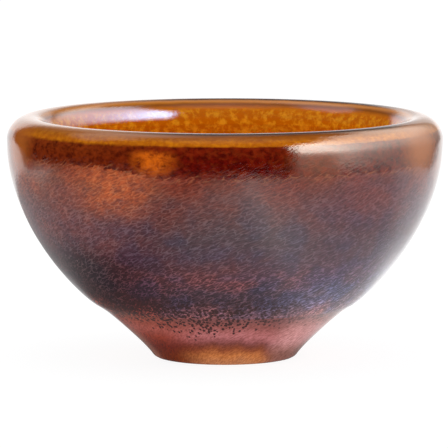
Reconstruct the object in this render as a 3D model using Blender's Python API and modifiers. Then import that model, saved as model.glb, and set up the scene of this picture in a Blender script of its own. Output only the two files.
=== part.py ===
"""A blown art glass bowl: a cased, thick-walled vessel with a rolled lip, standing on a small foot.

Metres, +Z up. The origin is the centre of the flat ring that the bowl stands on.
Every layer of glass is a body of revolution about Z. Profiles are (radius, height) points.
"""

import math

import bpy
import numpy as np

MM = 0.001

# Overall size
MAX_RADIUS = 76.0 * MM
HEIGHT = 84.5 * MM

# Rolled lip: the crest of its roll, and the narrowest ring of the mouth just below it
OUTER_ROLL = 8.2 * MM
MOUTH_RADIUS = 60.0 * MM
MOUTH_HEIGHT = 75.5 * MM
CREST_RADIUS = MAX_RADIUS - OUTER_ROLL

# Foot: flat ring, rounded edge and a hollow-curved neck up to the seam with the body
RING_RADIUS = 22.8 * MM
EDGE_RADIUS = 26.2 * MM
EDGE_HEIGHT = 2.3 * MM
EDGE_PULL = 1.9 * MM
NECK_SLOPE = math.radians(52)
SEAM_RADIUS = 44.5 * MM
SEAM_HEIGHT = 18.5 * MM
SEAM_SLOPE = math.radians(26)
NECK_PULL = 4.0 * MM
SEAM_DEPTH = 2.5 * MM
DISH_HEIGHT = 10.0 * MM
PONTIL_RADIUS = 12.0 * MM
PONTIL_DEPTH = 1.0 * MM

# Body: how far its curve keeps the slope of the seam, and of the upright wall
SEAM_PULL = 6.5 * MM
UPRIGHT_PULL = 30.5 * MM

# Hollow of the bowl
FLOOR_HEIGHT = 18.0 * MM
FLOOR_PULL = 29.0 * MM
BELLY_RADIUS = 64.0 * MM
BELLY_HEIGHT = 64.0 * MM
BELLY_PULL = 28.0 * MM
MOUTH_PULL = 4.5 * MM

# Layers, from the hollow outwards, and the gap that separates two neighbours
LINING_THICKNESS = 3.0 * MM
FLECK_THICKNESS = 1.0 * MM
GAP = 0.3 * MM
FLECK_START_RADIUS = 31.0 * MM

# Fineness of the turned surfaces
TURN_STEPS = 48
MERGE_DISTANCE = 0.01 * MM
SMOOTH_ANGLE = math.radians(40)
HOLLOW_SAMPLES = 12
MOUTH_SAMPLES = 4
ROLL_SAMPLES = 6
BODY_SAMPLES = 12
NECK_SAMPLES = 6
DISH_SAMPLES = 7
EDGE_SAMPLES = 5
PONTIL_SAMPLES = 4


def heading(slope):
    """Unit vector that climbs outwards at this slope."""
    return np.array((math.cos(slope), math.sin(slope)))


def cubic(start, start_pull, end_pull, end, samples):
    """Bezier curve from start to end. The pulls are vectors from each end to its handle."""
    start, end = np.array(start), np.array(end)
    handles = (start, start + start_pull, end + end_pull, end)
    t = np.linspace(0, 1, samples)[:, None]
    weights = ((1 - t) ** 3, 3 * t * (1 - t) ** 2, 3 * t**2 * (1 - t), t**3)
    return sum(weight * handle for weight, handle in zip(weights, handles))


def quarter(centre, width, height, first, last, samples):
    """Arc of an ellipse, from the first angle to the last."""
    angle = np.linspace(first, last, samples)
    return np.array(centre) + np.column_stack((width * np.cos(angle), height * np.sin(angle)))


def offset(line, distance):
    """The line moved to its right-hand side, with mitred corners, by one distance or one for each point."""
    runs = np.diff(line, axis=0)
    runs /= np.linalg.norm(runs, axis=1)[:, None]
    right = np.column_stack((runs[:, 1], -runs[:, 0]))
    before = np.vstack((right[:1], right))
    after = np.vstack((right, right[-1:]))
    mitre = (before + after) / (1 + (before * after).sum(axis=1))[:, None]
    moved = line + mitre * np.broadcast_to(distance, len(line))[:, None]
    moved[line[:, 0] == 0, 0] = 0
    return moved


def join(*runs):
    """One profile from runs that meet, without the doubled points where they do."""
    profile = [runs[0][0]]
    for point in np.vstack(runs)[1:]:
        if np.linalg.norm(point - profile[-1]) > MERGE_DISTANCE:
            profile.append(point)
    return np.array(profile)


def hollow_wall():
    """Surface of the hollow, from the middle of its floor to the narrowest ring of the mouth."""
    belly = (BELLY_RADIUS, BELLY_HEIGHT)
    bowl = cubic((0, FLOOR_HEIGHT), (FLOOR_PULL, 0), (0, -BELLY_PULL), belly, HOLLOW_SAMPLES)
    throat = cubic(
        belly, (0, MOUTH_PULL), (0, -MOUTH_PULL), (MOUTH_RADIUS, MOUTH_HEIGHT), MOUTH_SAMPLES
    )
    return join(bowl, throat)


def layer_face(wall, depth):
    """The face of a layer that lies this deep behind the hollow's wall, cut level at the mouth."""
    face = offset(wall, depth)
    face[-1, 1] = MOUTH_HEIGHT
    return face


def lip_roll():
    """Rolled lip, from the mouth over the crest to the widest ring of the bowl."""
    inner_centre = (CREST_RADIUS, MOUTH_HEIGHT + GAP)
    inner_width = CREST_RADIUS - MOUTH_RADIUS
    inner_height = HEIGHT - inner_centre[1]
    inner = quarter(inner_centre, inner_width, inner_height, math.pi, math.pi / 2, ROLL_SAMPLES)
    outer_centre = (CREST_RADIUS, HEIGHT - OUTER_ROLL)
    outer = quarter(outer_centre, OUTER_ROLL, OUTER_ROLL, math.pi / 2, 0, ROLL_SAMPLES)
    return join(inner, outer)


def body_side():
    """Outer side of the body, from its widest ring down to the seam with the foot."""
    widest = (MAX_RADIUS, HEIGHT - OUTER_ROLL)
    seam = (SEAM_RADIUS, SEAM_HEIGHT)
    return cubic(widest, (0, -UPRIGHT_PULL), SEAM_PULL * heading(SEAM_SLOPE), seam, BODY_SAMPLES)


def foot_side():
    """Neck and rounded edge of the foot, from the seam down to the flat ring."""
    neck = cubic(
        (SEAM_RADIUS, SEAM_HEIGHT),
        -NECK_PULL * heading(SEAM_SLOPE),
        NECK_PULL * heading(NECK_SLOPE),
        (EDGE_RADIUS, EDGE_HEIGHT),
        NECK_SAMPLES,
    )
    edge = cubic(
        (EDGE_RADIUS, EDGE_HEIGHT),
        -EDGE_PULL * heading(NECK_SLOPE),
        (EDGE_PULL, 0),
        (RING_RADIUS, 0),
        EDGE_SAMPLES,
    )
    return join(neck, edge)


def dish():
    """Face where the foot meets the body, from its middle out to the seam, which it meets squarely."""
    seam = np.array((SEAM_RADIUS, SEAM_HEIGHT))
    rim = seam + SEAM_DEPTH * heading(SEAM_SLOPE + math.pi / 2)
    pull = rim[0] / 2
    floor = cubic((0, DISH_HEIGHT), (pull, 0), -pull / 2 * heading(SEAM_SLOPE), rim, DISH_SAMPLES)
    return join(floor, seam[None])


def pontil():
    """Shallow ground hollow under the foot, from the flat ring in to the axis."""
    rim = (PONTIL_RADIUS, 0)
    middle = (0, PONTIL_DEPTH)
    pull = PONTIL_RADIUS / 3
    return cubic(rim, (-pull, PONTIL_DEPTH), (pull, 0), middle, PONTIL_SAMPLES)


def foot_profile():
    """The solid foot: its dished seat, neck, flat ring and ground hollow."""
    return join(dish(), foot_side(), pontil())


def casing_profile(wall):
    """The outer gather, which also forms the whole of the lip."""
    base = wall[:, 0] < FLECK_START_RADIUS
    bed = LINING_THICKNESS + GAP
    bed_under_flecks = bed + FLECK_THICKNESS + GAP
    inside = layer_face(wall, np.where(base, bed, bed_under_flecks))
    inside[-1, 1] += GAP
    underside = offset(dish(), -GAP)
    side = body_side()
    side[-1] = underside[-1]
    return join(inside, lip_roll(), side, underside[::-1])


def lining_profile(wall):
    """The inner gather, which is the floor and wall of the hollow."""
    return join(wall, layer_face(wall, LINING_THICKNESS)[::-1])


def fleck_profile(wall):
    """Band of crushed glass between the gathers: a closed loop that doesn't reach the axis."""
    near = layer_face(wall, LINING_THICKNESS + GAP)
    far = layer_face(wall, LINING_THICKNESS + GAP + FLECK_THICKNESS)
    band = wall[:, 0] >= FLECK_START_RADIUS
    return join(near[band], far[band][::-1])


def keep_turned_mesh(solid):
    """Make the turned shape the object's own mesh, smooth except at its cut edges."""
    graph = bpy.context.evaluated_depsgraph_get()
    mesh = bpy.data.meshes.new_from_object(solid.evaluated_get(graph))
    solid.modifiers.clear()
    solid.data = mesh
    mesh.name = solid.name
    mesh.shade_smooth()
    mesh.set_sharp_from_angle(angle=SMOOTH_ANGLE)


def turn(name, profile, material, collection, closed=False):
    """Object whose solid is the profile turned once round Z."""
    points = [(radius, 0, height) for radius, height in profile]
    edges = [(index, index + 1) for index in range(len(points) - 1)]
    if closed:
        edges.append((len(points) - 1, 0))
    mesh = bpy.data.meshes.new(name)
    mesh.from_pydata(points, edges, [])
    mesh.materials.append(material)
    solid = bpy.data.objects.new(name, mesh)
    collection.objects.link(solid)
    screw = solid.modifiers.new("turned", "SCREW")
    screw.axis = "Z"
    screw.steps = TURN_STEPS
    screw.render_steps = TURN_STEPS
    screw.use_merge_vertices = True
    screw.merge_threshold = MERGE_DISTANCE
    keep_turned_mesh(solid)


def glass(name, color, roughness, transmission):
    """Principled glass of one colour."""
    material = bpy.data.materials.new(name)
    material.use_nodes = True
    shader = material.node_tree.nodes["Principled BSDF"]
    shader.inputs["Base Color"].default_value = (*color, 1)
    shader.inputs["Roughness"].default_value = roughness
    shader.inputs["Metallic"].default_value = 0
    shader.inputs["Transmission Weight"].default_value = transmission
    return material


def clear_scene():
    for item in list(bpy.data.objects):
        bpy.data.objects.remove(item, do_unlink=True)


def build():
    clear_scene()
    bowl = bpy.data.collections.new("art_glass_bowl")
    bpy.context.scene.collection.children.link(bowl)
    wall = hollow_wall()
    lustre = glass("lustred_garnet_glass", (0.16, 0.07, 0.06), 0.08, 0.2)
    amber = glass("amber_glass", (0.55, 0.15, 0.01), 0.06, 0.4)
    flecks = glass("fleck_glass", (0.10, 0.03, 0.015), 0.3, 0.1)
    rose = glass("rose_glass", (0.42, 0.16, 0.10), 0.08, 0.5)
    turn("outer_casing", casing_profile(wall), lustre, bowl)
    turn("amber_lining", lining_profile(wall), amber, bowl)
    turn("fleck_layer", fleck_profile(wall), flecks, bowl, closed=True)
    turn("foot", foot_profile(), rose, bowl)


build()
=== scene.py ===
"""Looks of the art glass bowl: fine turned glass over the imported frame, its lustred and flecked
materials, and a plain studio. Metres, +Z up, in the frame's own coordinates.
"""

import math

import bpy
import numpy as np
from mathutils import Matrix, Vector, noise


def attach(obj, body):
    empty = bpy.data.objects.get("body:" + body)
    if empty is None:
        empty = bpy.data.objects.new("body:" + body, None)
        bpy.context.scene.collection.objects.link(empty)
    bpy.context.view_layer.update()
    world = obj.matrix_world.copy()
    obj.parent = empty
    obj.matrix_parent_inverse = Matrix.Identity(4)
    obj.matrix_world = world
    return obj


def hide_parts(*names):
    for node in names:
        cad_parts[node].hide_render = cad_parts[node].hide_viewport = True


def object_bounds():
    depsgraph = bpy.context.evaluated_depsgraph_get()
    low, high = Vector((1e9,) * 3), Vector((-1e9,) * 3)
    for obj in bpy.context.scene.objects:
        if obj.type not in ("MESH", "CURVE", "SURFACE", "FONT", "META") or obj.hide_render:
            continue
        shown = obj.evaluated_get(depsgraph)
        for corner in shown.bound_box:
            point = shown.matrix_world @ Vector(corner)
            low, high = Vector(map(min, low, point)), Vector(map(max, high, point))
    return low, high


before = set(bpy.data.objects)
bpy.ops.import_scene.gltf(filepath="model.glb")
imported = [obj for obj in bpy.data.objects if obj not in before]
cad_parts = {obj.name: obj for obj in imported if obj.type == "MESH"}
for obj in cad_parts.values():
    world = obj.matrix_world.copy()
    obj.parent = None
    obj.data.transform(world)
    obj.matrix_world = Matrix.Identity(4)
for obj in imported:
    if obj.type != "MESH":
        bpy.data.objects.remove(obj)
CAD_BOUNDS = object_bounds()

MM = 0.001
BODY = "root"
HEIGHT = CAD_BOUNDS[1][2]

# Fineness of the turned glass
RING_GRAIN = 0.02 * MM
CORNER_ANGLE = math.radians(50)
CURVE_STEPS = 12
FINE_SPACING = 0.9 * MM
COARSE_SPACING = 5 * MM
SECTORS = 512

# Clearance between two glasses in the CAD, which the lining's edge closes at the mouth
CAD_GAP = 0.3 * MM

# Unevenness left by the hand tools: (size of the swells, how far they stand out)
SWELLS = ((28 * MM, 0.10 * MM), (9 * MM, 0.03 * MM), (3.2 * MM, 0.02 * MM))

# The pattern space: round the axis at this radius, and along the section from the crest of the lip
PATTERN_RADIUS = 60 * MM
AROUND = "around"
RUN = "run"


# ---------------------------------------------------------------- geometry


def section_of(name):
    """The CAD piece's half section: its rings as (radius, height) points, in order along the outline."""
    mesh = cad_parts[name].data
    rings = {}
    ring_of = []
    for vertex in mesh.vertices:
        x, y, z = vertex.co
        key = (round(math.hypot(x, y) / RING_GRAIN), round(z / RING_GRAIN))
        ring_of.append(rings.setdefault(key, len(rings)))
    points = np.array(list(rings)) * RING_GRAIN
    near = [set() for _ in points]
    for edge in mesh.edges:
        a, b = (ring_of[index] for index in edge.vertices)
        if a != b:
            near[a].add(b)
            near[b].add(a)
    ends = [index for index in range(len(points)) if len(near[index]) == 1]
    walk = [max(ends, key=lambda index: points[index][1])]
    while near[walk[-1]] - set(walk):
        walk.append(min(near[walk[-1]] - set(walk)))
    return points[walk]


def corners_of(points):
    """Indexes of the ends of a section and of its sharp corners."""
    steps = np.diff(points, axis=0)
    slope = np.arctan2(steps[:, 1], steps[:, 0])
    turn = np.abs((np.diff(slope) + math.pi) % (2 * math.pi) - math.pi)
    return [0, *(np.nonzero(turn > CORNER_ANGLE)[0] + 1), len(points) - 1]


def lengths_along(points):
    """Distance of each point along the line from its first point."""
    steps = np.linalg.norm(np.diff(points, axis=0), axis=1)
    return np.concatenate(([0], np.cumsum(steps)))


def curve_between(p0, p1, p2, p3, t):
    """Points from p1 to p2 on the smooth curve through four points (Catmull-Rom)."""
    bend = 2 * p0 - 5 * p1 + 4 * p2 - p3 + t * (3 * (p1 - p2) + p3 - p0)
    return p1 + 0.5 * t * (p2 - p0 + t * bend)


def smooth_run(points, spacing):
    """Even points on the smooth curve through these."""
    if len(points) > 2:
        before = 2 * points[0] - points[1]
        beyond = 2 * points[-1] - points[-2]
        padded = np.vstack((before, points, beyond))
        t = np.linspace(0, 1, CURVE_STEPS, endpoint=False)[:, None]
        fours = zip(padded, padded[1:], padded[2:], padded[3:])
        points = np.vstack((*[curve_between(*four, t) for four in fours], points[-1:]))
    length = lengths_along(points)
    count = max(2, round(length[-1] / spacing) + 1)
    even = np.linspace(0, length[-1], count)
    return np.column_stack([np.interp(even, length, points[:, axis]) for axis in (0, 1)])


def refined(points, fine):
    """The section with its smooth stretches refined. fine(stretch) says which ones show."""
    corners = corners_of(points)
    runs = []
    for start, end in zip(corners, corners[1:]):
        stretch = points[start : end + 1]
        runs.append(smooth_run(stretch, FINE_SPACING if fine(stretch) else COARSE_SPACING))
    joined = [run[:-1] for run in runs[:-1]] + [runs[-1]]
    return np.vstack(joined)


def ring_of_points(radius, height):
    angle = np.linspace(0, 2 * math.pi, SECTORS, endpoint=False)
    return np.column_stack((radius * np.cos(angle), radius * np.sin(angle), np.full(SECTORS, height)))


def ring_quads(rings, sectors):
    """Quads between rings whose points are listed ring by ring."""
    grid = np.arange(rings * sectors).reshape(rings, sectors)
    after = np.roll(grid, -1, axis=1)
    return np.stack((grid[:-1], grid[1:], after[1:], after[:-1]), axis=-1).reshape(-1, 4).tolist()


def cap(pole, ring):
    """Triangles from a ring of point numbers to its pole on the axis."""
    return [(pole, a, b) for a, b in zip(ring, np.roll(ring, -1))]


def turned(name, profile, run):
    """Closed solid: the profile turned round Z, with a vertex at each end that lies on the axis."""
    poles = [(0, 0, profile[0][1]), (0, 0, profile[-1][1])]
    points = np.vstack((*[ring_of_points(*point) for point in profile[1:-1]], poles))
    pattern_poles = [(0, 0, run[0]), (0, 0, run[-1])]
    around = np.vstack((*[ring_of_points(PATTERN_RADIUS, at) for at in run[1:-1]], pattern_poles))
    along = np.concatenate((np.repeat(run[1:-1], SECTORS), [run[0], run[-1]]))
    rings = len(profile) - 2
    first_ring = np.arange(SECTORS)
    last_ring = first_ring + (rings - 1) * SECTORS
    faces = ring_quads(rings, SECTORS) + cap(len(points) - 2, first_ring)
    faces += [(pole, b, a) for pole, a, b in cap(len(points) - 1, last_ring)]
    mesh = bpy.data.meshes.new(name)
    mesh.from_pydata(points.tolist(), [], faces)
    mesh.attributes.new(AROUND, "FLOAT_VECTOR", "POINT").data.foreach_set("vector", around.ravel())
    mesh.attributes.new(RUN, "FLOAT", "POINT").data.foreach_set("value", along)
    mesh.shade_smooth()
    piece = bpy.data.objects.new(name, mesh)
    bpy.context.scene.collection.objects.link(piece)
    return piece


def roughen(piece):
    """Push the surface out from the axis, and in, by the hand-made swells."""
    mesh = piece.data
    for vertex in mesh.vertices:
        outwards = Vector((vertex.co.x, vertex.co.y, 0)).normalized()
        stand = sum(depth * noise.noise(vertex.co / size) for size, depth in SWELLS)
        vertex.co += stand * outwards
    mesh.set_sharp_from_angle(angle=CORNER_ANGLE)


# ---------------------------------------------------------------- material nodes

BUMP_DEPTH = 0.1 * MM
WHITE = (1, 1, 1, 1)


def glass_material(name, roughness, ior):
    """(material, tree, principled shader) of a new material."""
    material = bpy.data.materials.new(name)
    material.use_nodes = True
    tree = material.node_tree
    shader = tree.nodes["Principled BSDF"]
    shader.inputs["Roughness"].default_value = roughness
    shader.inputs["IOR"].default_value = ior
    return material, tree, shader


def node(tree, kind, inputs=None, **settings):
    """New shader node. An input is a value, or a socket to link."""
    made = tree.nodes.new(kind)
    for name, value in settings.items():
        setattr(made, name, value)
    for key, value in (inputs or {}).items():
        if isinstance(value, bpy.types.NodeSocket):
            tree.links.new(value, made.inputs[key])
        else:
            made.inputs[key].default_value = value
    return made


def attribute(tree, name):
    return node(tree, "ShaderNodeAttribute", attribute_name=name)


def calc(tree, operation, *values):
    return node(tree, "ShaderNodeMath", dict(enumerate(values)), operation=operation).outputs[0]


def product(tree, *factors):
    result = factors[0]
    for factor in factors[1:]:
        result = calc(tree, "MULTIPLY", result, factor)
    return result


def scaled(tree, value, factor, base):
    """The value times the factor, plus the base."""
    return calc(tree, "MULTIPLY_ADD", value, factor, base)


def fade(tree, value, low, high):
    """0 at low, 1 at high, smooth between."""
    inputs = {"Value": value, "From Min": low, "From Max": high}
    return node(tree, "ShaderNodeMapRange", inputs, interpolation_type="SMOOTHSTEP").outputs[0]


def blend(tree, factor, first, second, mode="MIX"):
    inputs = {0: factor, 6: first, 7: second}
    made = node(tree, "ShaderNodeMix", inputs, data_type="RGBA", blend_type=mode)
    return made.outputs[2]


def shaded(tree, color, shade):
    """The colour times the shade."""
    return blend(tree, 1.0, color, shade, "MULTIPLY")


def cloud(tree, vector, size, detail=2.0, roughness=0.5):
    """Noise from 0 to 1 whose lumps are about this many metres across."""
    inputs = {"Vector": vector, "Scale": 1 / size, "Detail": detail, "Roughness": roughness}
    return node(tree, "ShaderNodeTexNoise", inputs).outputs["Fac"]


def ramp(tree, factor, stops):
    """Colour that changes along the factor. stops are (position, colour)."""
    made = node(tree, "ShaderNodeValToRGB", {"Fac": factor})
    band = made.color_ramp
    while len(band.elements) < len(stops):
        band.elements.new(0.5)
    for element, (position, color) in zip(band.elements, stops):
        element.position = position
        element.color = (*color, 1)
    return made.outputs["Color"]


def wrinkled(tree, shader, height, strength):
    """Fine wrinkles of the surface, by this height."""
    inputs = {"Strength": strength, "Distance": BUMP_DEPTH, "Height": height}
    bump = node(tree, "ShaderNodeBump", inputs).outputs[0]
    tree.links.new(bump, shader.inputs["Normal"])


# ---------------------------------------------------------------- patterns

# A place on the section is a run from the crest: negative inside the mouth, positive down the outside.
# Places of colours are in millimetres of run.
RAMP_START = -16
RAMP_END = 112
STROKE_LEAN = 20

# Where the colours of the two sides start and are full, and the least distance between the two, as
# shares of the way out from the middle
SIDE_START = 0.1
SIDE_FULL = 0.7
SIDE_SOFT = 0.25

# Share of a soft spot's reach that has full strength
SPOT_CORE = 0.2

# Where most of a cloud's values lie
CLOUD_SPAN = (0.34, 0.66)


def by_run(tree, run, low, high):
    """0 at the low place, 1 at the high one, smooth between."""
    return fade(tree, run, low * MM, high * MM)


def x_of(tree, around):
    return node(tree, "ShaderNodeSeparateXYZ", {0: around}).outputs["X"]


def across(tree, around, low, high):
    """0 at low, 1 at high, which are shares of the way out to the right, or to the left if negative."""
    return fade(tree, x_of(tree, around), low * PATTERN_RADIUS, high * PATTERN_RADIUS)


def slanted(tree, around, run, lean):
    """Pattern space turned round the axis by lean radians a metre of run, so that its grains lean."""
    inputs = {"Vector": around, "Angle": product(tree, run, lean)}
    return node(tree, "ShaderNodeVectorRotate", inputs, rotation_type="Z_AXIS").outputs[0]


def bent(tree, around, size, reach):
    """Pattern space with its lines bent by lumps of this size."""
    lump = node(tree, "ShaderNodeTexNoise", {"Vector": around, "Scale": 1 / size}).outputs["Color"]
    inputs = {0: lump, 1: (reach, reach, reach), 2: around}
    return node(tree, "ShaderNodeVectorMath", inputs, operation="MULTIPLY_ADD").outputs[0]


def wavering(tree, around, run, size, reach):
    """The run, pushed up and down by lumps of this size."""
    lump = calc(tree, "SUBTRACT", cloud(tree, around, size), 0.5)
    return scaled(tree, lump, reach, run)


def patch(tree, around, azimuth, place, reach):
    """Soft spot, 1 at a place on the glass and 0 this many millimetres from it. Azimuth 0 is the front."""
    a = math.radians(azimuth)
    centre = (PATTERN_RADIUS * math.sin(a), -PATTERN_RADIUS * math.cos(a), place * MM)
    inputs = {0: around, 1: centre}
    distance = node(tree, "ShaderNodeVectorMath", inputs, operation="DISTANCE").outputs["Value"]
    return fade(tree, distance, reach * MM, SPOT_CORE * reach * MM)


def grains(tree, space, size):
    """Crushed glass: (1 in the middle of a grain and 0 between grains, a chance that differs by grain)."""
    cells = node(tree, "ShaderNodeTexVoronoi", {"Vector": space, "Scale": 1 / size})
    chance = node(tree, "ShaderNodeSeparateColor", {0: cells.outputs["Color"]}).outputs[0]
    return fade(tree, cells.outputs["Distance"], 0.66, 0.22), chance


def seams(tree, space, size, width):
    """Thin lines where grains of this size meet, faint here and there. Width is a share of a grain."""
    inputs = {"Vector": space, "Scale": 1 / size}
    edge = node(tree, "ShaderNodeTexVoronoi", inputs, feature="DISTANCE_TO_EDGE").outputs["Distance"]
    return product(tree, fade(tree, edge, width, 0), fade(tree, cloud(tree, space, size), 0.38, 0.56))


def band_color(tree, run, bands):
    """Colour that changes down the section. Bands are (place, colour)."""
    inputs = {"Value": run, "From Min": RAMP_START * MM, "From Max": RAMP_END * MM}
    position = node(tree, "ShaderNodeMapRange", inputs).outputs[0]
    length = RAMP_END - RAMP_START
    return ramp(tree, position, [((place - RAMP_START) / length, tone) for place, tone in bands])


def sided(tree, around, left, front, right, right_start=SIDE_START):
    """The first colour on the left, the second in front and at the back, and the third on the right."""
    color = blend(tree, across(tree, around, -SIDE_START, -SIDE_FULL), front, left)
    right_full = max(SIDE_FULL, right_start + SIDE_SOFT)
    return blend(tree, across(tree, around, right_start, right_full), color, right)


# ---------------------------------------------------------------- glass

# How lines bend and waver: (size of the lumps, how far they push)
COARSE_BEND = (3 * MM, 1.2 * MM)
FINE_BEND = (1.1 * MM, 0.45 * MM)
AMBER_BEND = (3 * MM, 2 * MM)
FLECK_BEND = (3 * MM, 1 * MM)
BODY_WAVES = (18 * MM, 16 * MM)
SHARD_WAVES = (2.5 * MM, 6 * MM)
LIP_WAVES = (5 * MM, 0.8 * MM)
EDGE_WAVES = (1.6 * MM, 5 * MM)
DOT_WAVES = (10 * MM, 14 * MM)
FOOT_WAVES = (14 * MM, 6 * MM)

# Sizes of the clouds and grains
AMBER_SIZE = 2.4 * MM
FILM_SIZE = 8 * MM
PAINTED_CAUSTIC_SIZE = 4 * MM
WRINKLE_SIZE = 0.9 * MM
SHARD_SIZE = 1.6 * MM
MOTTLE_SIZE = 1.7 * MM
NET_SIZE = 2.6 * MM
GLOW_STREAK_SIZE = 2.3 * MM
SCRATCH_SIZE = 2.6 * MM
DOT_SIZE = 1.5 * MM
STREAK_SIZE = 1.3 * MM

# Amber glass of the hollow
AMBER = (0.58, 0.145, 0.001, 1)
AMBER_FLECK = (0.80, 0.34, 0.012, 1)

# Lustre film, from where it looks warm to where it looks cool
WARM = (1.16, 0.99, 0.86, 1)
COOL = (0.88, 1.0, 1.14, 1)

# Bands of the casing: (place, colour). In the lip's bands the light crest at the sides is a painted
# sheen, the dark front crest and the dark line in the inner roll are painted dark reflections, and the
# amber band under the crest is a painted glow of light through the lip
SIDE_LIP = (
    (-16, (0.54, 0.125, 0.001)),
    (-6.4, (0.58, 0.16, 0.005)),
    (-5.0, (0.28, 0.08, 0.008)),
    (-3.2, (0.60, 0.21, 0.03)),
    (-1.4, (0.48, 0.24, 0.14)),
    (1.6, (0.54, 0.26, 0.15)),
    (2.8, (0.46, 0.20, 0.09)),
    (4.2, (0.36, 0.12, 0.03)),
    (6.0, (0.38, 0.11, 0.008)),
    (8.4, (0.46, 0.125, 0.003)),
    (9.4, (0.14, 0.018, 0.002)),
    (14, (0.110, 0.010, 0.001)),
)
FRONT_LIP = (
    (-16, (0.54, 0.125, 0.001)),
    (-6.4, (0.58, 0.16, 0.005)),
    (-5.0, (0.28, 0.08, 0.008)),
    (-4.5, (0.28, 0.08, 0.008)),
    (-3.2, (0.60, 0.21, 0.03)),
    (-2.4, (0.45, 0.16, 0.03)),
    (-1.4, (0.06, 0.02, 0.010)),
    (2.0, (0.05, 0.015, 0.008)),
    (3.0, (0.12, 0.035, 0.008)),
    (4.2, (0.28, 0.075, 0.008)),
    (6.0, (0.38, 0.105, 0.006)),
    (6.8, (0.54, 0.155, 0.003)),
    (8.4, (0.52, 0.140, 0.003)),
    (9.0, (0.130, 0.007, 0.001)),
    (14, (0.090, 0.002, 0.0005)),
)
# Body bands on the left, darkened by painted shade
LEFT_BANDS_PAINTED_SHADE = (
    (14, (0.15, 0.018, 0.002)),
    (22, (0.22, 0.048, 0.020)),
    (30, (0.16, 0.045, 0.036)),
    (38, (0.118, 0.034, 0.038)),
    (44, (0.095, 0.027, 0.034)),
    (50, (0.060, 0.012, 0.020)),
    (56, (0.032, 0.007, 0.012)),
    (62, (0.028, 0.006, 0.011)),
    (72, (0.030, 0.005, 0.007)),
    (78, (0.105, 0.014, 0.008)),
    (84, (0.250, 0.052, 0.030)),
)
FRONT_BANDS = (
    (14, (0.105, 0.004, 0.001)),
    (20, (0.160, 0.023, 0.008)),
    (26, (0.140, 0.035, 0.026)),
    (34, (0.088, 0.031, 0.034)),
    (42, (0.056, 0.030, 0.043)),
    (50, (0.062, 0.027, 0.044)),
    (56, (0.080, 0.023, 0.030)),
    (60, (0.082, 0.025, 0.034)),
    (66, (0.038, 0.019, 0.032)),
    (72, (0.036, 0.017, 0.028)),
    (78, (0.145, 0.056, 0.072)),
    (84, (0.250, 0.072, 0.062)),
)
# Body bands on the right, lightened by painted light of the key card
RIGHT_BANDS_PAINTED_LIGHT = (
    (14, (0.210, 0.030, 0.006)),
    (20, (0.155, 0.034, 0.028)),
    (26, (0.135, 0.034, 0.038)),
    (34, (0.100, 0.029, 0.042)),
    (42, (0.070, 0.023, 0.038)),
    (50, (0.062, 0.024, 0.045)),
    (58, (0.068, 0.030, 0.058)),
    (66, (0.060, 0.044, 0.080)),
    (72, (0.088, 0.062, 0.105)),
    (78, (0.185, 0.110, 0.165)),
    (84, (0.310, 0.125, 0.130)),
)
# Spots on the casing: azimuth, place, reach. The first two are painted glows of light focused through
# the lip, and the third is a painted shadow
PAINTED_CAUSTIC_SPOT = (-30, 21, 18)
PAINTED_LIP_GLOW_SPOT = (-18.5, 13.2, 8.2)
PAINTED_SHADOW_SPOT = (-52, 61, 24)
# Colours of the painted glows and the painted shadow
PAINTED_CAUSTIC = (0.46, 0.088, 0.018, 1)
PAINTED_CAUSTIC_STRENGTH = 0.9
PAINTED_LIP_GLOW = (0.62, 0.12, 0.005, 1)
PAINTED_SHADOW = (0.010, 0.004, 0.008, 1)
PAINTED_SHADOW_STRENGTH = 0.5

# Glow of the lamps on the lip: (azimuth, place, reach, strength)
GLOWS = ((-70, 12, 13, 0.85), (63, 12, 14, 0.85), (25, 12, 14, 0.22))
GLOW_COLOR = (0.40, 0.105, 0.015, 1)

# Fine patterns of the casing. Light and dark tones multiply the colour under them
WRINKLE_DARK = (0.62, 0.58, 0.62, 1)
WRINKLE_LIGHT = (1.14, 1.12, 1.12, 1)
UPPER_SEAM_LIGHT = (1.6, 2.1, 2.1, 1)
LOWER_SEAM_LIGHT = (3.4, 3.7, 3.5, 1)
HAIR_COLOR = (0.20, 0.14, 0.14, 1)
MOTTLE_DARK = (0.50, 0.36, 0.34, 1)
MOTTLE_LIGHT = (1.42, 1.75, 1.65, 1)
NET_COLOR = (0.30, 0.040, 0.005, 1)
NET_STRENGTH = 0.25
SCRATCH_COLOR = (0.42, 0.15, 0.06, 1)
SCRATCH_STRENGTH = 0.45

# The line where the lip's colour ends, the scratches on each side of it, and how far it sags, which it
# does everywhere but on the left
LIP_EDGE = (16.6, 17.4)
SCRATCHES_ABOVE = (15.2, 16.8)
SCRATCHES_BELOW = (19.5, 17.2)
SAG = 2.4 * MM
SAG_START = (-0.55, -0.28)

# Reflection of the casing: its usual level, what the lip's inner roll adds, the roll's tint, and the
# places where the roll starts and where its reflection ends in the mouth
MIRROR_LEVEL = 0.5
INNER_MIRROR = 0.65
INNER_TINT = (0.32, 0.56, 1.0, 1)
INNER_START = (-3, -6)
INNER_END = (-11.3, -9.5)

# Dark dots: their crushed grains hang lower round this spot, and fade to the right
DOT_COLOR = (0.028, 0.004, 0.004, 1)
DOT_STRENGTH = 0.92
DOT_FADE = 0.45
BULGE_SPOT = (-14, 86, 30)
BULGE = 5 * MM


def mottled_amber(tree):
    position = node(tree, "ShaderNodeTexCoord").outputs["Object"]
    lumps = cloud(tree, bent(tree, position, *AMBER_BEND), AMBER_SIZE, 3, 0.6)
    return blend(tree, fade(tree, lumps, 0.40, 0.70), AMBER, AMBER_FLECK)


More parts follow.
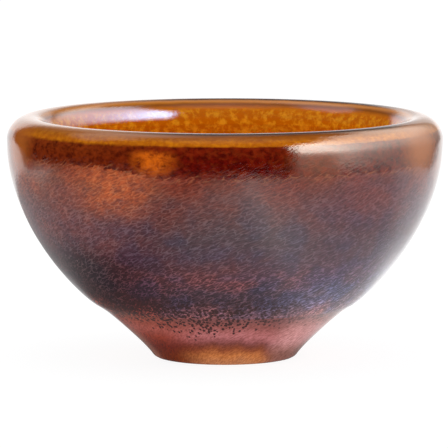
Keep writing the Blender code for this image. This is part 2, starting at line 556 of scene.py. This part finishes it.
def dotted(tree, around, run, color):
    """The colour under dark grains of crushed glass, which thin out towards the foot."""
    grain, chance = grains(tree, around, DOT_SIZE)
    bulge = product(tree, patch(tree, around, *BULGE_SPOT), BULGE)
    low = calc(tree, "SUBTRACT", wavering(tree, around, run, *DOT_WAVES), bulge)
    kept = calc(tree, "LESS_THAN", chance, by_run(tree, low, 92, 78))
    strength = scaled(tree, across(tree, around, SIDE_START, SIDE_FULL), -DOT_FADE, DOT_STRENGTH)
    dots = product(tree, fade(tree, grain, 0.12, 0.5), kept, by_run(tree, run, 64, 76), strength)
    return blend(tree, dots, color, DOT_COLOR)


def body_bands(tree, around, run, uneven, leaning):
    """Broad bands of the body under their lustre film, with painted shade on the left and painted light
    on the right, and a painted glow of light below the lip.
    """
    wavy = wavering(tree, leaning, wavering(tree, around, run, *BODY_WAVES), *SHARD_WAVES)
    sides = [band_color(tree, wavy, bands) for bands in (LEFT_BANDS_PAINTED_SHADE, FRONT_BANDS, RIGHT_BANDS_PAINTED_LIGHT)]
    cool = fade(tree, cloud(tree, around, FILM_SIZE, 1), 0.36, 0.64)
    color = shaded(tree, sided(tree, around, *sides), blend(tree, cool, WARM, COOL))
    # Painted glow of light focused through the lip, on the front left below it
    ragged = fade(tree, cloud(tree, uneven, PAINTED_CAUSTIC_SIZE, 3, 0.6), 0.22, 0.62)
    painted_caustic = product(tree, patch(tree, around, *PAINTED_CAUSTIC_SPOT), ragged, PAINTED_CAUSTIC_STRENGTH)
    return blend(tree, painted_caustic, color, PAINTED_CAUSTIC)


def body_color(tree, around, run, uneven, leaning, wrinkles):
    """The body's bands under the wrinkles, seams and hairs of its film, a painted shadow low on the left,
    and the dots near the foot.
    """
    color = body_bands(tree, around, run, uneven, leaning)
    shade = blend(tree, fade(tree, wrinkles, *CLOUD_SPAN), WRINKLE_DARK, WRINKLE_LIGHT)
    below_lip = scaled(tree, by_run(tree, run, 18, 40), 0.45, 0.55)
    above_foot = scaled(tree, by_run(tree, run, 86, 74), 0.75, 0.25)
    seam = product(tree, seams(tree, leaning, SHARD_SIZE, 0.15), below_lip)
    seam = product(tree, seam, above_foot)
    seam_light = blend(tree, by_run(tree, run, 50, 63), UPPER_SEAM_LIGHT, LOWER_SEAM_LIGHT)
    shade = blend(tree, seam, shade, seam_light)
    body = by_run(tree, run, 15, 19)
    color = blend(tree, body, color, shaded(tree, color, shade))
    # Painted shadow low on the left, with pale hairs put back over it
    painted_shadow = product(tree, patch(tree, around, *PAINTED_SHADOW_SPOT), PAINTED_SHADOW_STRENGTH)
    color = blend(tree, painted_shadow, color, PAINTED_SHADOW)
    pale = scaled(tree, by_run(tree, run, 66, 50), 0.16, product(tree, painted_shadow, 0.45))
    color = blend(tree, product(tree, seam, body, pale), color, HAIR_COLOR)
    return dotted(tree, around, run, color)


def lip_color(tree, around, run, uneven):
    """Bands of the rolled lip: amber in the mouth, and mottled outside under a net of darker lines, with
    the painted light in its bands and a painted glow of light below the crest.
    """
    rolled = wavering(tree, around, run, *LIP_WAVES)
    lips = [band_color(tree, rolled, bands) for bands in (SIDE_LIP, FRONT_LIP, SIDE_LIP)]
    bands = sided(tree, around, *lips, right_start=0.78)
    color = blend(tree, by_run(tree, run, -6, -8), bands, mottled_amber(tree))
    mottle = fade(tree, cloud(tree, uneven, MOTTLE_SIZE, 3, 0.65), *CLOUD_SPAN)
    shade = blend(tree, mottle, MOTTLE_DARK, MOTTLE_LIGHT)
    faint = product(tree, by_run(tree, run, 4, 6), 0.3)
    mottled = scaled(tree, by_run(tree, run, 8, 9.5), 0.5, faint)
    color = blend(tree, mottled, color, shaded(tree, color, shade))
    net = product(tree, seams(tree, uneven, NET_SIZE, 0.3), by_run(tree, run, 5, 7), NET_STRENGTH)
    color = blend(tree, net, color, NET_COLOR)
    # Painted glow of light through the lip, in streaks below the crest on the front left
    glow_streaks = fade(tree, cloud(tree, uneven, GLOW_STREAK_SIZE, 3, 0.65), 0.24, 0.62)
    painted_lip_glow = product(tree, patch(tree, around, *PAINTED_LIP_GLOW_SPOT), glow_streaks, by_run(tree, run, 9.5, 12))
    return blend(tree, painted_lip_glow, color, PAINTED_LIP_GLOW)


def casing_color(tree, around, run, uneven, leaning, wrinkles):
    """The lip's colour and the body's, which meet along a ragged, scratched edge, and the glows."""
    lip = lip_color(tree, around, run, uneven)
    body = body_color(tree, around, run, uneven, leaning, wrinkles)
    sag = product(tree, across(tree, around, *SAG_START), SAG)
    ragged = calc(tree, "SUBTRACT", wavering(tree, leaning, run, *EDGE_WAVES), sag)
    color = blend(tree, by_run(tree, ragged, *LIP_EDGE), lip, body)
    above = by_run(tree, ragged, *SCRATCHES_ABOVE)
    near_edge = product(tree, above, by_run(tree, ragged, *SCRATCHES_BELOW))
    scratch = product(tree, seams(tree, leaning, SCRATCH_SIZE, 0.1), near_edge, SCRATCH_STRENGTH)
    color = blend(tree, scratch, color, SCRATCH_COLOR)
    for *spot, strength in GLOWS:
        glow = product(tree, patch(tree, around, *spot), strength)
        color = blend(tree, glow, color, GLOW_COLOR)
    return color


def mirror_inner_roll(tree, shader, run):
    """Stronger, cooler reflection on the lip's inner roll, which fades out near the mouth."""
    inside = by_run(tree, run, *INNER_START)
    level = scaled(tree, inside, INNER_MIRROR, MIRROR_LEVEL)
    level = product(tree, level, by_run(tree, run, *INNER_END))
    tree.links.new(level, shader.inputs["Specular IOR Level"])
    tree.links.new(blend(tree, inside, WHITE, INNER_TINT), shader.inputs["Specular Tint"])


def casing_material():
    material, tree, shader = glass_material("lustred_casing_glass", roughness=0.05, ior=1.52)
    around = attribute(tree, AROUND).outputs["Vector"]
    run = attribute(tree, RUN).outputs["Fac"]
    uneven = bent(tree, bent(tree, around, *COARSE_BEND), *FINE_BEND)
    leaning = slanted(tree, uneven, run, STROKE_LEAN)
    wrinkles = cloud(tree, leaning, WRINKLE_SIZE, 2.0, 0.6)
    color = casing_color(tree, around, run, uneven, leaning, wrinkles)
    tree.links.new(color, shader.inputs["Base Color"])
    mirror_inner_roll(tree, shader, run)
    wrinkled(tree, shader, wrinkles, 0.4)
    return material


def lining_material():
    material, tree, shader = glass_material("amber_lining_glass", roughness=0.05, ior=1.62)
    tree.links.new(mottled_amber(tree), shader.inputs["Base Color"])
    return material


FLECK_GLASS = (0.10, 0.022, 0.012, 1)
FLECK_SEAM = (0.30, 0.075, 0.012, 1)


def fleck_material():
    """Crushed garnet glass, melted flat, with amber where the grains part."""
    material, tree, shader = glass_material("fleck_glass", roughness=0.3, ior=1.52)
    position = node(tree, "ShaderNodeTexCoord").outputs["Object"]
    grain, chance = grains(tree, bent(tree, position, *FLECK_BEND), DOT_SIZE)
    tone = blend(tree, chance, DOT_COLOR, FLECK_GLASS)
    color = blend(tree, fade(tree, grain, 0.1, 0.6), FLECK_SEAM, tone)
    tree.links.new(color, shader.inputs["Base Color"])
    wrinkled(tree, shader, grain, 0.4)
    return material


# Bands of the foot: (place, colour). The front bands end at the base in a painted amber glow of light
# through the glass
LEFT_FOOT = (
    (82, (0.240, 0.050, 0.028)),
    (86, (0.310, 0.058, 0.034)),
    (90, (0.370, 0.076, 0.054)),
    (95, (0.260, 0.030, 0.010)),
    (101, (0.140, 0.010, 0.001)),
    (106, (0.150, 0.018, 0.001)),
)
FRONT_FOOT = (
    (82, (0.22, 0.064, 0.060)),
    (86, (0.29, 0.080, 0.068)),
    (90, (0.42, 0.125, 0.120)),
    (92.5, (0.47, 0.150, 0.150)),
    (94.6, (0.36, 0.105, 0.105)),
    (96.4, (0.22, 0.055, 0.045)),
    (98, (0.22, 0.050, 0.026)),
    (100, (0.30, 0.070, 0.022)),
    (103, (0.56, 0.180, 0.050)),
    (107, (0.50, 0.190, 0.080)),
)
RIGHT_FOOT = (
    (82, (0.30, 0.130, 0.135)),
    (86, (0.46, 0.190, 0.175)),
    (92, (0.66, 0.280, 0.270)),
    (98, (0.64, 0.280, 0.275)),
    (102, (0.42, 0.170, 0.150)),
    (105, (0.27, 0.100, 0.075)),
)

# How far the front bands of the foot come down to each side, like an arch
ARCH_RISE = 11 * MM

STREAK_DARK = (0.70, 0.62, 0.58, 1)
STREAK_LIGHT = (1.18, 1.22, 1.24, 1)
# Painted reflection on the foot's left edge
PAINTED_EDGE_REFLECTION = (0.45, 0.18, 0.12, 1)
PAINTED_EDGE_REFLECTION_STRENGTH = 0.6


def foot_material():
    material, tree, shader = glass_material("foot_glass", roughness=0.06, ior=1.52)
    around = attribute(tree, AROUND).outputs["Vector"]
    run = attribute(tree, RUN).outputs["Fac"]
    wavy = wavering(tree, around, run, *FOOT_WAVES)
    part = calc(tree, "DIVIDE", x_of(tree, around), PATTERN_RADIUS)
    arched = scaled(tree, product(tree, part, part), -ARCH_RISE, wavy)
    places = ((wavy, LEFT_FOOT), (arched, FRONT_FOOT), (wavy, RIGHT_FOOT))
    sides = [band_color(tree, place, bands) for place, bands in places]
    color = sided(tree, around, *sides, right_start=0.4)
    streak = cloud(tree, slanted(tree, around, run, STROKE_LEAN), STREAK_SIZE, 3, 0.65)
    shade = blend(tree, fade(tree, streak, *CLOUD_SPAN), STREAK_DARK, STREAK_LIGHT)
    color = shaded(tree, color, shade)
    # Painted reflection, pale rose, near the left edge of the foot
    painted_edge_reflection = product(tree, fade(tree, part, -0.82, -0.96), by_run(tree, run, 88, 96), PAINTED_EDGE_REFLECTION_STRENGTH)
    color = blend(tree, painted_edge_reflection, color, PAINTED_EDGE_REFLECTION)
    tree.links.new(dotted(tree, around, run, color), shader.inputs["Base Color"])
    wrinkled(tree, shader, streak, 0.25)
    return material


# ---------------------------------------------------------------- pieces


def add_piece(name, profile, run, material, replaced):
    """The turned glass that takes the place of a CAD node."""
    piece = turned(name, profile, run)
    piece.data.materials.append(material)
    roughen(piece)
    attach(piece, BODY)
    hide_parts(replaced)


def build_casing():
    """The casing. It returns its profile, and the run of each point from the crest of the lip."""
    section = section_of("outer_casing")
    profile = refined(section, lambda stretch: stretch[:, 1].max() > HEIGHT - MM)
    run = lengths_along(profile)
    crest = np.argmax(profile[:, 1])
    run -= run[crest]
    add_piece("casing_glass", profile, run, casing_material(), "outer_casing")
    return profile, run


def build_lining():
    section = section_of("amber_lining")
    mouth = corners_of(section)[1]
    section[mouth, 1] += CAD_GAP
    profile = refined(section, lambda stretch: stretch[0, 1] >= section[0, 1] - MM)
    run = lengths_along(profile)
    add_piece("lining_glass", profile, run, lining_material(), "amber_lining")


def build_foot(casing_profile, casing_run):
    """The foot, whose seam is moved onto the casing so that no gap shows, and whose run goes on from it."""
    section = section_of("foot")
    seam = int(np.argmax(section[:, 0]))
    widest = np.argmax(casing_profile[:, 0])
    lower = casing_profile[widest:]
    at = widest + int(np.argmin(np.linalg.norm(lower - section[seam], axis=1)))
    section[seam] = casing_profile[at]
    profile = refined(section, lambda stretch: stretch[:, 1].min() < MM)
    run = lengths_along(profile)
    seam = int(np.argmax(profile[:, 0]))
    run += casing_run[at] - run[seam]
    add_piece("foot_glass", profile, run, foot_material(), "foot")


def dress_flecks():
    """The fleck layer is sealed inside, and keeps its CAD shape."""
    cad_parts["fleck_layer"].material_slots[0].material = fleck_material()


# ---------------------------------------------------------------- studio

CAMERA_DISTANCE = 1.665
CAMERA_RISE = math.radians(6.68)
FOCAL_LENGTH = 383
SENSOR_WIDTH = 36
FRAME_SHIFT = (-0.002, 0.026)
CLIP = (0.05, 50)

FLOOR_REACH = 6
FLOOR_COLOR = (0.15, 0.15, 0.15, 1)
FLOOR_GLOW = 0.9

# What the glass mirrors, as soft cards in a dark room. Angles are degrees: azimuth to the right of the
# camera's side, and elevation. The light is relative to the white background. A pair such as (172, 150)
# goes from where a card is dark to where it is fully lit.
LIGHT = "light"
ROOM_RADIUS = 1.2
ROOM_LOW = -40
ROOM_STEP = 1.5
DARK = 0.02

# Key card, on the right. Its light falls off past FULL, its start is (elevation, azimuth), its rise is
# (elevation, share of the light), and its top comes down by (drop, azimuths)
KEY_LIGHT = 14.0
KEY_SPREAD = 2.4
KEY_FULL = 60
KEY_FALL = 30
KEY_TINT = np.array((1.0, 0.93, 0.82))
KEY_START = ((0, 36), (45, 41), (65, 53))
KEY_SOFT = 4
KEY_END = (172, 150)
KEY_TOP = (66, 58)
KEY_DROPS = ((4, (90, 66)), (6, (64, 42)), (16, (130, 158)))
KEY_RISE = ((-13, 0.04), (-5, 0.10), (10, 0.21), (20, 0.38), (30, 0.8), (40, 1.0))
KEY_FOOT = 0.2
KEY_FOOT_CARD = ((52, 68), (150, 115), (-20, -2), (38, 20))

# Backdrop, behind the bowl. Its edge is (elevation, degrees off the back), and is drawn in on the right
BACKDROP_DIM = 0.12
BACKDROP_LIGHT = 1.1
BACKDROP_EDGE = ((-13, 69), (-9, 62), (-7, 52), (-2, 42), (7, 34.5), (12, 30), (20, 27), (28, 22))
BACKDROP_SOFT = 3
BACKDROP_SHIFT = 12
SHIFT_RISE = (-14, -6)
BACKDROP_TOP = (28, 20)
UNDIMMED_TOP = (16, 8)
DIM_RIGHT = 0.55
DIM_RIGHT_END = (-4, 3)
UPPER_BACKDROP = 0.25
UPPER_BAND = (42, 62, 8)

# Small card on the left, and the ceiling
SIDE_LIGHT = 0.9
SIDE_CARD = ((-92, -104), (-180, -150), (43, 51), (71, 63))
CEILING_LIGHT = 0.25
CEILING_START = (66, 80)

# The table in reflections, in metres. Its light grows by (gain, radii) away from the bowl, and is
# multiplied across by (x, share). Brighter places behind the bowl are (gain, x, y)
TABLE_RADIUS = 0.32
TABLE_HOLE = 0.01
TABLE_RINGS = 40
TABLE_SECTORS = 96
TABLE_DEPTH = 0.5 * MM
TABLE_STRETCH = 0.34
TABLE_STRETCH_RADII = (0.2, TABLE_RADIUS)
TABLE_LIGHT = 0.12
TABLE_GAINS = ((0.18, (0.026, 0.04)), (0.5, (0.035, 0.11)))
TABLE_SIDES = (
    (-0.15, 0.6),
    (-0.10, 0.5),
    (-0.06, 0.3),
    (-0.02, 0.8),
    (0.02, 1.2),
    (0.04, 2.1),
    (0.07, 1.5),
    (0.12, 1.1),
)
BEHIND_RIGHT = (0.5, (0.05, 0.09), (-0.02, 0.05))
BEHIND_FAR_LEFT = (1.7, (-0.20, -0.28))
BEHIND_LEFT = (1.1, (-0.075, -0.03, 0.015))
BEHIND_LEFT_START = (0.02, 0.07)


def build_camera():
    data = bpy.data.cameras.new("camera")
    data.lens = FOCAL_LENGTH
    data.sensor_width = SENSOR_WIDTH
    data.shift_x, data.shift_y = FRAME_SHIFT
    data.clip_start, data.clip_end = CLIP
    camera = bpy.data.objects.new("camera", data)
    bpy.context.scene.collection.objects.link(camera)
    target = Vector((0, 0, HEIGHT / 2))
    back = Vector((0, -math.cos(CAMERA_RISE), math.sin(CAMERA_RISE)))
    camera.location = target + CAMERA_DISTANCE * back
    camera.rotation_euler = (-back).to_track_quat("-Z", "Y").to_euler()
    bpy.context.scene.camera = camera


def floor_material():
    """Matt grey that also glows, so that the floor is nearly as pale as the background."""
    material = bpy.data.materials.new("pale_floor")
    material.use_nodes = True
    shader = material.node_tree.nodes["Principled BSDF"]
    shader.inputs["Base Color"].default_value = FLOOR_COLOR
    shader.inputs["Roughness"].default_value = 0.8
    shader.inputs["Specular IOR Level"].default_value = 0.0
    shader.inputs["Emission Color"].default_value = WHITE
    shader.inputs["Emission Strength"].default_value = FLOOR_GLOW
    return material


def stage_mesh(name, points, faces, material):
    mesh = bpy.data.meshes.new(name)
    mesh.from_pydata(points, [], faces)
    mesh.materials.append(material)
    thing = bpy.data.objects.new(name, mesh)
    bpy.context.scene.collection.objects.link(thing)
    return thing


def only_in_reflections(thing):
    thing.visible_camera = False
    thing.visible_diffuse = False
    thing.visible_transmission = False
    thing.visible_volume_scatter = False
    thing.visible_shadow = False


def ease(value, low, high):
    """0 at low, 1 at high, smooth between. Low may be above high."""
    t = np.clip((value - low) / (high - low), 0, 1)
    return t * t * (3 - 2 * t)


def between(value, low, high, soft):
    """1 between low and high and 0 outside them, with edges twice this soft width across."""
    return ease(value, low - soft, low + soft) * ease(value, high + soft, high - soft)


def on_card(azimuth, elevation, left, right, bottom, top):
    """1 on a soft card and 0 off it. Each edge goes from dark to lit."""
    sides = ease(azimuth, *left) * ease(azimuth, *right)
    return sides * ease(elevation, *bottom) * ease(elevation, *top)


def key_light(azimuth, elevation):
    """Light of the key card."""
    light = KEY_LIGHT * math.exp(-max(azimuth - KEY_FULL, 0) / KEY_FALL) + KEY_SPREAD
    start = np.interp(elevation, *zip(*KEY_START))
    light *= ease(azimuth, start - KEY_SOFT, start + KEY_SOFT) * ease(azimuth, *KEY_END)
    drop = sum(degrees * ease(azimuth, *span) for degrees, span in KEY_DROPS)
    light *= ease(elevation + drop, *KEY_TOP)
    foot = KEY_FOOT * on_card(azimuth, elevation, *KEY_FOOT_CARD)
    return light * (np.interp(elevation, *zip(*KEY_RISE)) + foot)


def backdrop_light(azimuth, elevation):
    """Light of the backdrop, whose middle is dimmer on the right."""
    dimmed = DIM_RIGHT + (1 - DIM_RIGHT) * ease(azimuth % 360 - 180, *DIM_RIGHT_END)
    lit = ease(elevation, *BACKDROP_TOP) * max(dimmed, ease(elevation, *UNDIMMED_TOP))
    light = BACKDROP_DIM + BACKDROP_LIGHT * lit + UPPER_BACKDROP * between(elevation, *UPPER_BAND)
    shift = BACKDROP_SHIFT * (azimuth > 0) * ease(elevation, *SHIFT_RISE)
    edge = np.interp(elevation, *zip(*BACKDROP_EDGE)) - shift
    off_back = abs(abs(azimuth) - 180)
    return light * ease(off_back, edge + BACKDROP_SOFT, edge - BACKDROP_SOFT)


def room_light(azimuth, elevation):
    """Light of the room in a direction, as red, green and blue."""
    side = SIDE_LIGHT * on_card(azimuth, elevation, *SIDE_CARD)
    ceiling = CEILING_LIGHT * ease(elevation, *CEILING_START)
    grey = DARK + backdrop_light(azimuth, elevation) + side + ceiling
    return grey + key_light(azimuth, elevation) * KEY_TINT


def table_light(x, y, radius):
    """Light of the table at a place: dim close to the bowl and on its shaded left."""
    near = TABLE_LIGHT + sum(gain * ease(radius, *radii) for gain, radii in TABLE_GAINS)
    side = np.interp(x, *zip(*TABLE_SIDES))
    gain, right, back = BEHIND_RIGHT
    side *= 1 + gain * ease(x, *right) * ease(y, *back)
    far_gain, far_left = BEHIND_FAR_LEFT
    near_gain, near_left = BEHIND_LEFT
    left = far_gain * ease(x, *far_left) + near_gain * between(x, *near_left)
    side *= 1 + left * ease(y, *BEHIND_LEFT_START)
    return near * side


def room_mesh():
    """Dome round the bowl whose points carry the room's light."""
    azimuths = np.arange(-180, 180, ROOM_STEP)
    elevations = np.arange(ROOM_LOW, 90, ROOM_STEP)
    points = []
    colors = []
    for elevation in elevations:
        rise = math.radians(elevation)
        for azimuth in azimuths:
            turn = math.radians(azimuth)
            away = (math.cos(rise) * math.sin(turn), -math.cos(rise) * math.cos(turn), math.sin(rise))
            points.append([ROOM_RADIUS * part for part in away])
            colors.append((*room_light(azimuth, elevation), 1))
    quads = ring_quads(len(elevations), len(azimuths))
    return points, [(a, d, c, b) for a, b, c, d in quads], colors


def table_mesh():
    """Disc that stands in for the table in reflections, and whose points carry its light."""
    points = []
    colors = []
    for radius in np.linspace(TABLE_HOLE, TABLE_RADIUS, TABLE_RINGS):
        stretch = 1 + TABLE_STRETCH * ease(radius, *TABLE_STRETCH_RADII)
        for angle in np.linspace(0, 2 * math.pi, TABLE_SECTORS, endpoint=False):
            x, y = radius * math.sin(angle), -radius * math.cos(angle)
            points.append((x * stretch, y, -TABLE_DEPTH))
            light = table_light(x, y, radius)
            colors.append((light, light, light, 1))
    middle = tuple(range(TABLE_SECTORS))
    return points, [*ring_quads(TABLE_RINGS, TABLE_SECTORS), middle], colors


def glowing(name):
    """Material that gives off the light that its points carry."""
    material = bpy.data.materials.new(name)
    material.use_nodes = True
    tree = material.node_tree
    tree.nodes.remove(tree.nodes["Principled BSDF"])
    color = attribute(tree, LIGHT).outputs["Color"]
    emission = node(tree, "ShaderNodeEmission", {"Color": color}).outputs[0]
    tree.links.new(emission, tree.nodes["Material Output"].inputs["Surface"])
    return material


def mirrored_card(name, points, faces, colors):
    """Stage piece that is seen only in reflections."""
    card = stage_mesh(name, points, faces, glowing(name))
    values = card.data.attributes.new(LIGHT, "FLOAT_COLOR", "POINT").data
    values.foreach_set("color", np.array(colors, np.float32).ravel())
    only_in_reflections(card)


def build_stage():
    far = FLOOR_REACH
    corners = [(-far, -far, 0), (far, -far, 0), (far, far, 0), (-far, far, 0)]
    floor = stage_mesh("floor", corners, [(0, 1, 2, 3)], floor_material())
    floor.visible_glossy = False
    mirrored_card("room", *room_mesh())
    mirrored_card("table", *table_mesh())
    world = bpy.data.worlds.new("studio")
    world.use_nodes = True
    background = world.node_tree.nodes["Background"]
    background.inputs["Color"].default_value = WHITE
    background.inputs["Strength"].default_value = 1.0
    bpy.context.scene.world = world


casing_profile, casing_run = build_casing()
build_lining()
build_foot(casing_profile, casing_run)
dress_flecks()
build_stage()
build_camera()
bpy.context.scene.view_settings.view_transform = "Standard"
